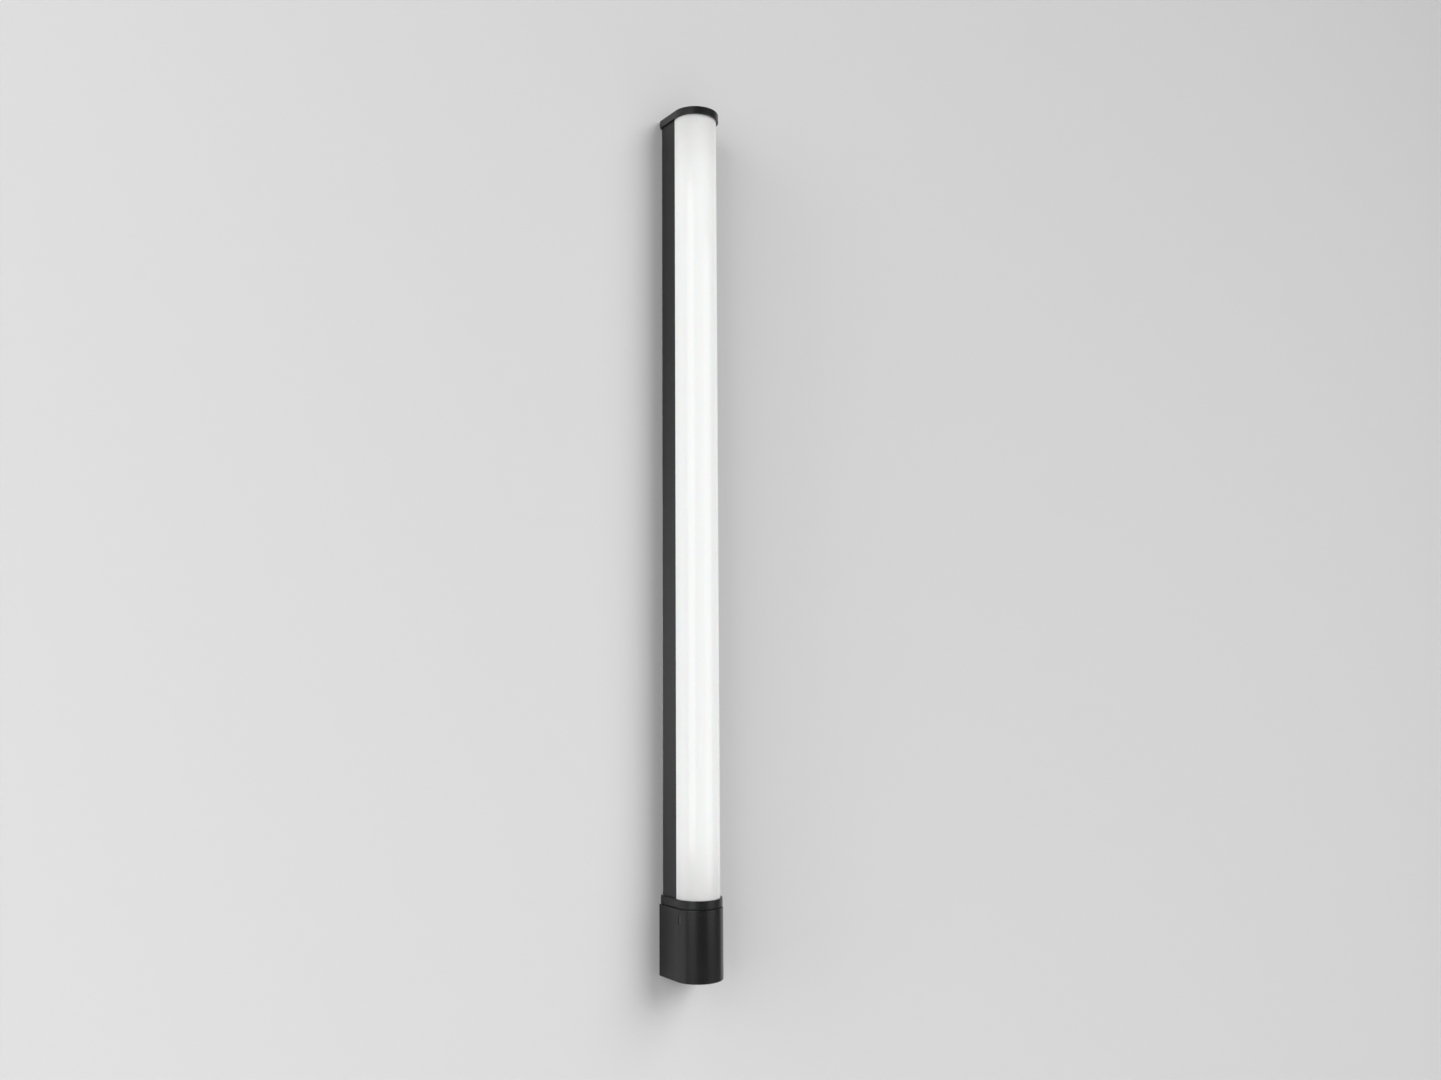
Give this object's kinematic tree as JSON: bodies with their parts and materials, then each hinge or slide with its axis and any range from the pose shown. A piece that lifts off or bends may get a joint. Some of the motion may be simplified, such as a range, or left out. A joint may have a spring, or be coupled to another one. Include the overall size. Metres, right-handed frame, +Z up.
{
  "type": "tube wall light",
  "caption": "Slim upright wall light: a black channel with a half-round opal diffuser between end caps, on a terminal base hidden by a slide-off cover held by spring catches.",
  "frame": {"origin": "on the wall, on the back face of the base plate, midway between its four wall-screw holes", "axes": "+X to the right seen from the room, +Y into the wall, +Z up along the light"},
  "size_m": [0.056, 0.066, 1],
  "materials": {
    "profile_coating": "matt black powder coat",
    "opal_diffuser": "glossy opal white polycarbonate",
    "cap_plastic": "fine-grained matt black",
    "cover_plastic": "fine-grained matt black",
    "base_plastic": "matt black moulding",
    "clip_nylon": "glass-filled nylon",
    "gasket_silicone": "matt",
    "grommet_rubber": "matt",
    "screw_steel": "stainless",
    "spring_steel": "bright rolled stainless strip",
    "board_laminate": "white solder mask on an aluminium core",
    "led_lens": "phosphor-filled silicone",
    "connector_nylon": "natural nylon",
    "driver_case": "white moulded case",
    "terminal_nylon": "translucent natural nylon",
    "terminal_brass": "machined",
    "tag_brass": "tinned",
    "brown_wire": "soft vinyl insulation",
    "blue_wire": "soft vinyl insulation",
    "green_yellow_wire": "soft vinyl insulation, green with a yellow stripe",
    "red_wire": "soft vinyl insulation",
    "black_wire": "soft vinyl insulation"
  },
  "bodies": {
    "light": {"body_profile": "profile_coating", "diffuser": "opal_diffuser", "top_end_cap": "cap_plastic", "lower_end_cap": "cap_plastic", "top_cap_gasket": "gasket_silicone", "lower_cap_gasket": "gasket_silicone", "top_cap_screws": "screw_steel", "lower_cap_screws": "screw_steel", "feed_grommet": "grommet_rubber", "led_board_1": "board_laminate", "led_board_2": "board_laminate", "led_board_3": "board_laminate", "led_packages_1": "led_lens", "led_packages_2": "led_lens", "led_packages_3": "led_lens", "board_connectors": "connector_nylon", "board_screws": "screw_steel", "led_driver": "driver_case", "driver_screws": "screw_steel", "wall_clip": "clip_nylon", "base_plate": "base_plastic", "base_screws": "screw_steel", "cable_grommet": "grommet_rubber", "terminal_block": "terminal_nylon", "terminal_barrels": "terminal_brass", "terminal_screws": "screw_steel", "terminal_block_screws": "screw_steel", "earth_tag": "tag_brass", "earth_screw": "screw_steel", "live_wire": "brown_wire", "neutral_wire": "blue_wire", "earth_wire": "green_yellow_wire", "led_wire_plus": "red_wire", "led_wire_minus": "black_wire", "catch_left": "spring_steel", "catch_right": "spring_steel"},
    "cover": {"housing_cover": "cover_plastic"}
  },
  "joints": [
    {"name": "cover_slide", "type": "slide", "parent": "light", "child": "cover", "axis": [0, 0, -1], "range_m": [0, 0.085], "deforming": ["catch_left", "catch_right"]}
  ]
}
